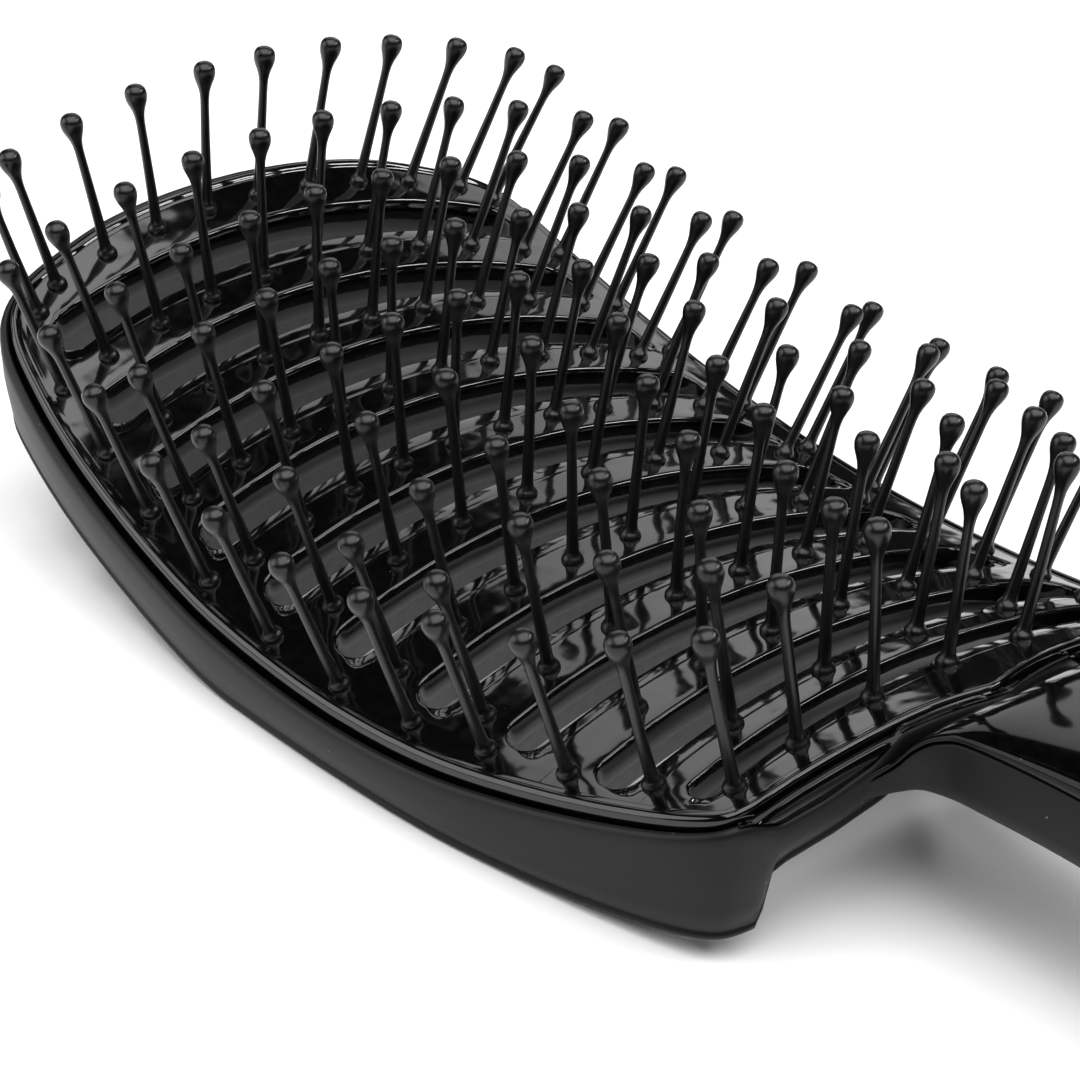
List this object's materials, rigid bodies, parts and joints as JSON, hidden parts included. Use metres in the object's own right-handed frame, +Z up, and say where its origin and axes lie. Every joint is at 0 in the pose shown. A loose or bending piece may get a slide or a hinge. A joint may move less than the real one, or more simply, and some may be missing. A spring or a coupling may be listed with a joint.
{
  "type": "curved vent hairbrush",
  "caption": "Curved vent hairbrush with an open back, arched glossy bars, ball-tipped pins and a slim handle, lying on its back.",
  "frame": {"origin": "middle of the bounding box's base, on the surface that the brush lies on", "axes": "+X from the head's tip to the handle's end, +Y across the brush, +Z up, the way the pins point"},
  "size_m": [0.235, 0.0792, 0.0416],
  "materials": {
    "matte_black": "soft matte",
    "gloss_black": "polished"
  },
  "bodies": {
    "root": {"lower_shell": "matte_black", "handle_cover": "gloss_black", "pin_plate": "gloss_black", "pin_row_01": "gloss_black", "pin_row_02": "gloss_black", "pin_row_03": "gloss_black", "pin_row_04": "gloss_black", "pin_row_05": "gloss_black", "pin_row_06": "gloss_black", "pin_row_07": "gloss_black", "pin_row_08": "gloss_black", "pin_row_09": "gloss_black", "pin_row_10": "gloss_black", "pin_row_11": "gloss_black", "edge_pins_left": "gloss_black", "edge_pins_right": "gloss_black"}
  },
  "joints": []
}
